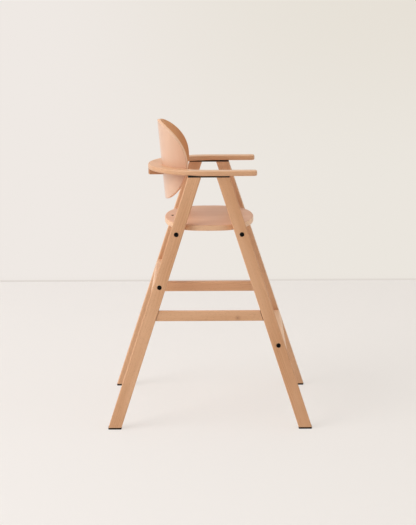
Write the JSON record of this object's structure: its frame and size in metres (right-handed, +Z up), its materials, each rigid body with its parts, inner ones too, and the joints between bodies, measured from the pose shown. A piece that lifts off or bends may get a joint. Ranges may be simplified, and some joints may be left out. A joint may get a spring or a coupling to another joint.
{
  "type": "baby high chair",
  "caption": "Wooden baby high chair: leaning A-shaped side frames, cross rails with footrest, rounded seat board, U-shaped armrest and curved oval backrest shell.",
  "frame": {"origin": "on the floor, midway between the four feet", "axes": "+X points to the front of the chair, +Y to the sitter's left, +Z up"},
  "size_m": [0.5656, 0.479, 0.8364],
  "materials": {
    "beech_legs": "sanded solid beech with a thin matt oil or varnish, long grain along each leg",
    "beech_rails": "sanded solid beech with a thin matt varnish",
    "beech_arm": "beech plywood band with rounded edges, layered edge, matt varnish",
    "ply_shell": "moulded beech plywood, pale matt face, layered edge",
    "ply_seat": "beech plywood, pale pinkish matt face, layered edge",
    "black_plate": "matt black powder coat",
    "pad_plastic": "matt black plastic",
    "black_bolt": "black oxide steel",
    "zinc_steel": "plain zinc-plated steel, hidden inside the joints",
    "beech_dowel": "plain turned beech, hidden inside the joints"
  },
  "bodies": {
    "root": {"right_rear_leg": "beech_legs", "right_front_leg": "beech_legs", "left_rear_leg": "beech_legs", "left_front_leg": "beech_legs", "right_side_stretcher": "beech_rails", "left_side_stretcher": "beech_rails", "rear_seat_rail": "beech_rails", "front_seat_rail": "beech_rails", "rear_lower_rail": "beech_rails", "footrest_rail": "beech_rails", "armrest_ring": "beech_arm", "backrest_cleat": "beech_rails", "backrest_shell": "ply_shell", "seat_board": "ply_seat", "right_top_plate": "black_plate", "left_top_plate": "black_plate", "right_front_foot_pad": "pad_plastic", "right_rear_foot_pad": "pad_plastic", "left_front_foot_pad": "pad_plastic", "left_rear_foot_pad": "pad_plastic", "frame_bolts": "black_bolt", "barrel_nuts": "zinc_steel", "rail_dowels": "beech_dowel", "stretcher_dowels": "beech_dowel", "plate_screws": "zinc_steel", "arm_screws": "zinc_steel", "seat_screws": "zinc_steel", "cleat_screws": "zinc_steel", "back_screws": "zinc_steel", "pad_screws": "zinc_steel"}
  },
  "joints": []
}
